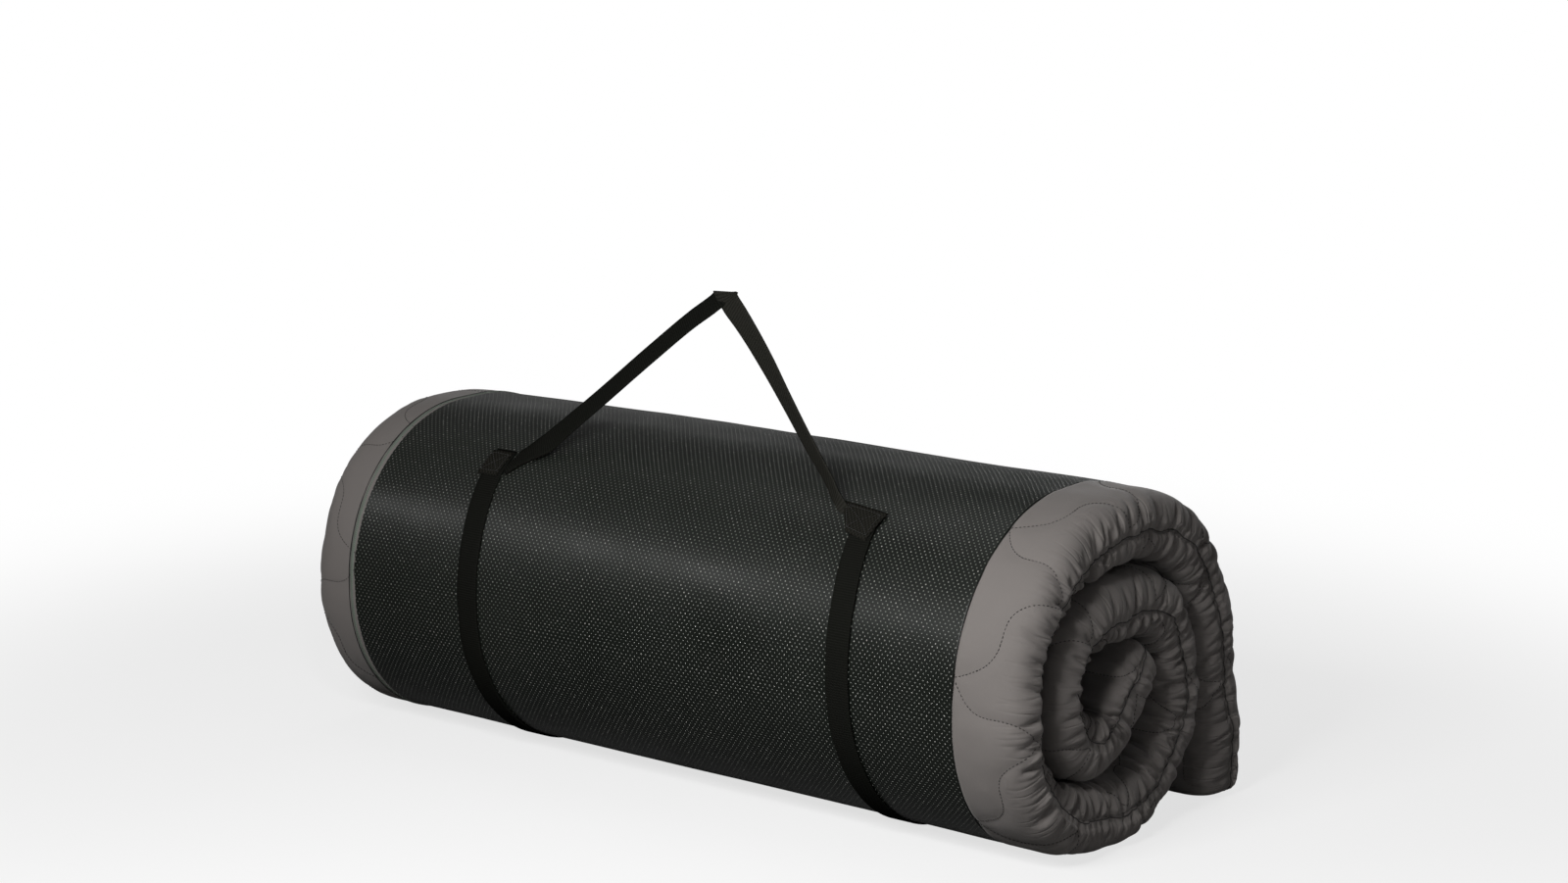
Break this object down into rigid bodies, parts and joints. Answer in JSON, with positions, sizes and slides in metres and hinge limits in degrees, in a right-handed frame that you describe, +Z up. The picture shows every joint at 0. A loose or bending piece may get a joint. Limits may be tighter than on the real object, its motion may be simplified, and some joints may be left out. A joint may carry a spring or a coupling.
{
  "type": "roll-up camping mat",
  "caption": "Thick quilted foam sleeping mat rolled up on its webbing bands, with a dotted slip-proof base panel, stitched anchors, a peaked carrying handle and peel-open closing tabs.",
  "frame": {"origin": "on the floor, at the middle of the bounding box's bottom face", "axes": "+X along the roll, towards the end whose spiral is seen in the picture; +Y towards the back, where the mat's loose end hangs; +Z up; the front of the roll faces -Y"},
  "size_m": [0.8612, 0.3908, 0.4683],
  "materials": {
    "cover_fabric": "warm grey plain-weave polyester, quilted, matte",
    "base_pvc": "black PVC-coated sheet with a staggered grid of small raised glossy dots",
    "selvage": "light grey-green ribbed edge binding",
    "webbing": "black woven polypropylene webbing, slight sheen",
    "hook_and_loop": "black hook-and-loop pad, very matte",
    "foam": "open-cell polyurethane foam, hidden inside",
    "wadding": "white polyester wadding, hidden inside"
  },
  "bodies": {
    "mat": {"foam_core": "foam", "top_wadding": "wadding", "base_wadding": "wadding", "top_cover": "cover_fabric", "base_cover": "cover_fabric", "base_panel": "base_pvc", "panel_selvage": "selvage", "band_left": "webbing", "band_right": "webbing", "anchor_patch_left": "webbing", "anchor_patch_right": "webbing", "loop_pad_left": "hook_and_loop", "loop_pad_right": "hook_and_loop"},
    "handle": {"carry_handle": "webbing"},
    "left_tab": {"tab_left": "webbing", "hook_pad_left": "hook_and_loop"},
    "right_tab": {"tab_right": "webbing", "hook_pad_right": "hook_and_loop"}
  },
  "joints": [
    {"name": "handle_swing", "type": "hinge", "parent": "mat", "child": "handle", "pos_m": [0, -0.12194, 0.29967], "axis": [1, 0, 0], "range_deg": [-26, 146]},
    {"name": "left_tab_peel", "type": "hinge", "parent": "mat", "child": "left_tab", "pos_m": [-0.204, 0.19242, 0.0471], "axis": [1, 0, 0], "range_deg": [-115, 0]},
    {"name": "right_tab_peel", "type": "hinge", "parent": "mat", "child": "right_tab", "pos_m": [0.243, 0.19242, 0.0471], "axis": [1, 0, 0], "range_deg": [-115, 0]}
  ]
}
